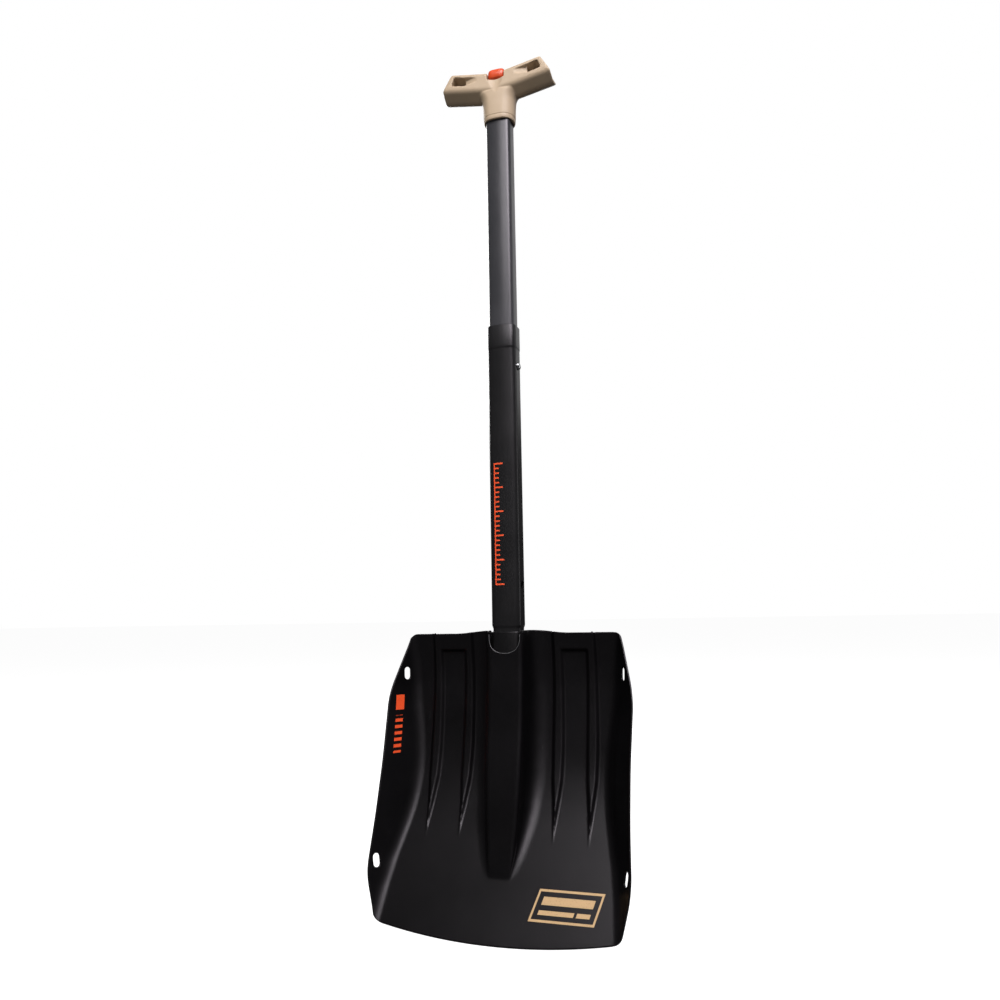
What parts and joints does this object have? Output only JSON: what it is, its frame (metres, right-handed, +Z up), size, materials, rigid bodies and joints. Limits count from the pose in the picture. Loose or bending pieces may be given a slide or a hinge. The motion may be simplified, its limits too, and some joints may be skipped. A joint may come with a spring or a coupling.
{
  "type": "avalanche shovel",
  "caption": "Avalanche shovel with a ribbed scoop blade, telescopic shaft with snap pins and T-grip that draws out a saw.",
  "frame": {"origin": "centre of the bounding box on its lowest plane, the digging edge's lowest point", "axes": "+Z up the shaft to the grip, -Y the scooping side, +X right as seen from the scooping side"},
  "size_m": [0.2568, 0.0912, 0.9006],
  "materials": {
    "black_aluminium": "satin black anodised",
    "black_aluminium_socket": "satin black anodised",
    "black_aluminium_shaft": "satin black anodised",
    "weld_aluminium": "dull weld bead, coloured over",
    "grey_aluminium": "satin dark grey anodised",
    "black_plastic": "moulded, matt",
    "chromed_steel": "polished",
    "spring_steel": "rolled strip and wire",
    "screw_steel": "zinc plated",
    "saw_steel": "ground",
    "rivet_aluminium": "plain",
    "tan_plastic": "moulded, fine grain",
    "orange_plastic": "moulded"
  },
  "bodies": {
    "lower_shaft": {"lower_shaft": "black_aluminium_shaft", "shaft_guide": "black_plastic", "shaft_end_plug": "black_plastic", "blade_pin_spring": "spring_steel"},
    "blade": {"blade": "black_aluminium", "blade_socket": "black_aluminium_socket", "socket_weld_left": "weld_aluminium", "socket_weld_right": "weld_aluminium"},
    "blade_pin": {"blade_pin": "chromed_steel"},
    "upper_shaft": {"upper_shaft": "grey_aluminium", "shaft_glide": "black_plastic", "extension_pin_spring": "spring_steel"},
    "extension_pin": {"extension_pin": "chromed_steel"},
    "grip": {"grip_body": "tan_plastic", "button_spring": "spring_steel", "saw_holder": "black_plastic", "saw_blade": "saw_steel", "saw_rivet_upper": "rivet_aluminium", "saw_rivet_lower": "rivet_aluminium", "holder_screw": "screw_steel"},
    "release_button": {"release_button": "orange_plastic", "latch_tongue": "spring_steel"}
  },
  "joints": [
    {"name": "shaft_slide", "type": "slide", "parent": "lower_shaft", "child": "upper_shaft", "axis": [0, 0, 1], "range_m": [-0.2316, 0], "deforming": ["extension_pin"]},
    {"name": "extension_pin_press", "type": "slide", "parent": "upper_shaft", "child": "extension_pin", "axis": [-1, 0, 0], "range_m": [0, 0.0042], "stiffness_N_per_m": 900, "springref_m": -0.004, "deforming": ["extension_pin_spring"]},
    {"name": "blade_pull", "type": "slide", "parent": "lower_shaft", "child": "blade", "axis": [0, 0, -1], "range_m": [0, 0.1], "deforming": ["blade_pin"]},
    {"name": "blade_pin_press", "type": "slide", "parent": "lower_shaft", "child": "blade_pin", "axis": [0, -1, 0], "range_m": [0, 0.005], "stiffness_N_per_m": 900, "springref_m": -0.004, "deforming": ["blade_pin_spring"]},
    {"name": "grip_pull", "type": "slide", "parent": "upper_shaft", "child": "grip", "axis": [0, 0, 1], "range_m": [0, 0.36], "deforming": ["latch_tongue"]},
    {"name": "release_button_press", "type": "slide", "parent": "grip", "child": "release_button", "axis": [0, 1, 0], "range_m": [0, 0.0036], "stiffness_N_per_m": 700, "springref_m": -0.004, "deforming": ["button_spring"]}
  ]
}
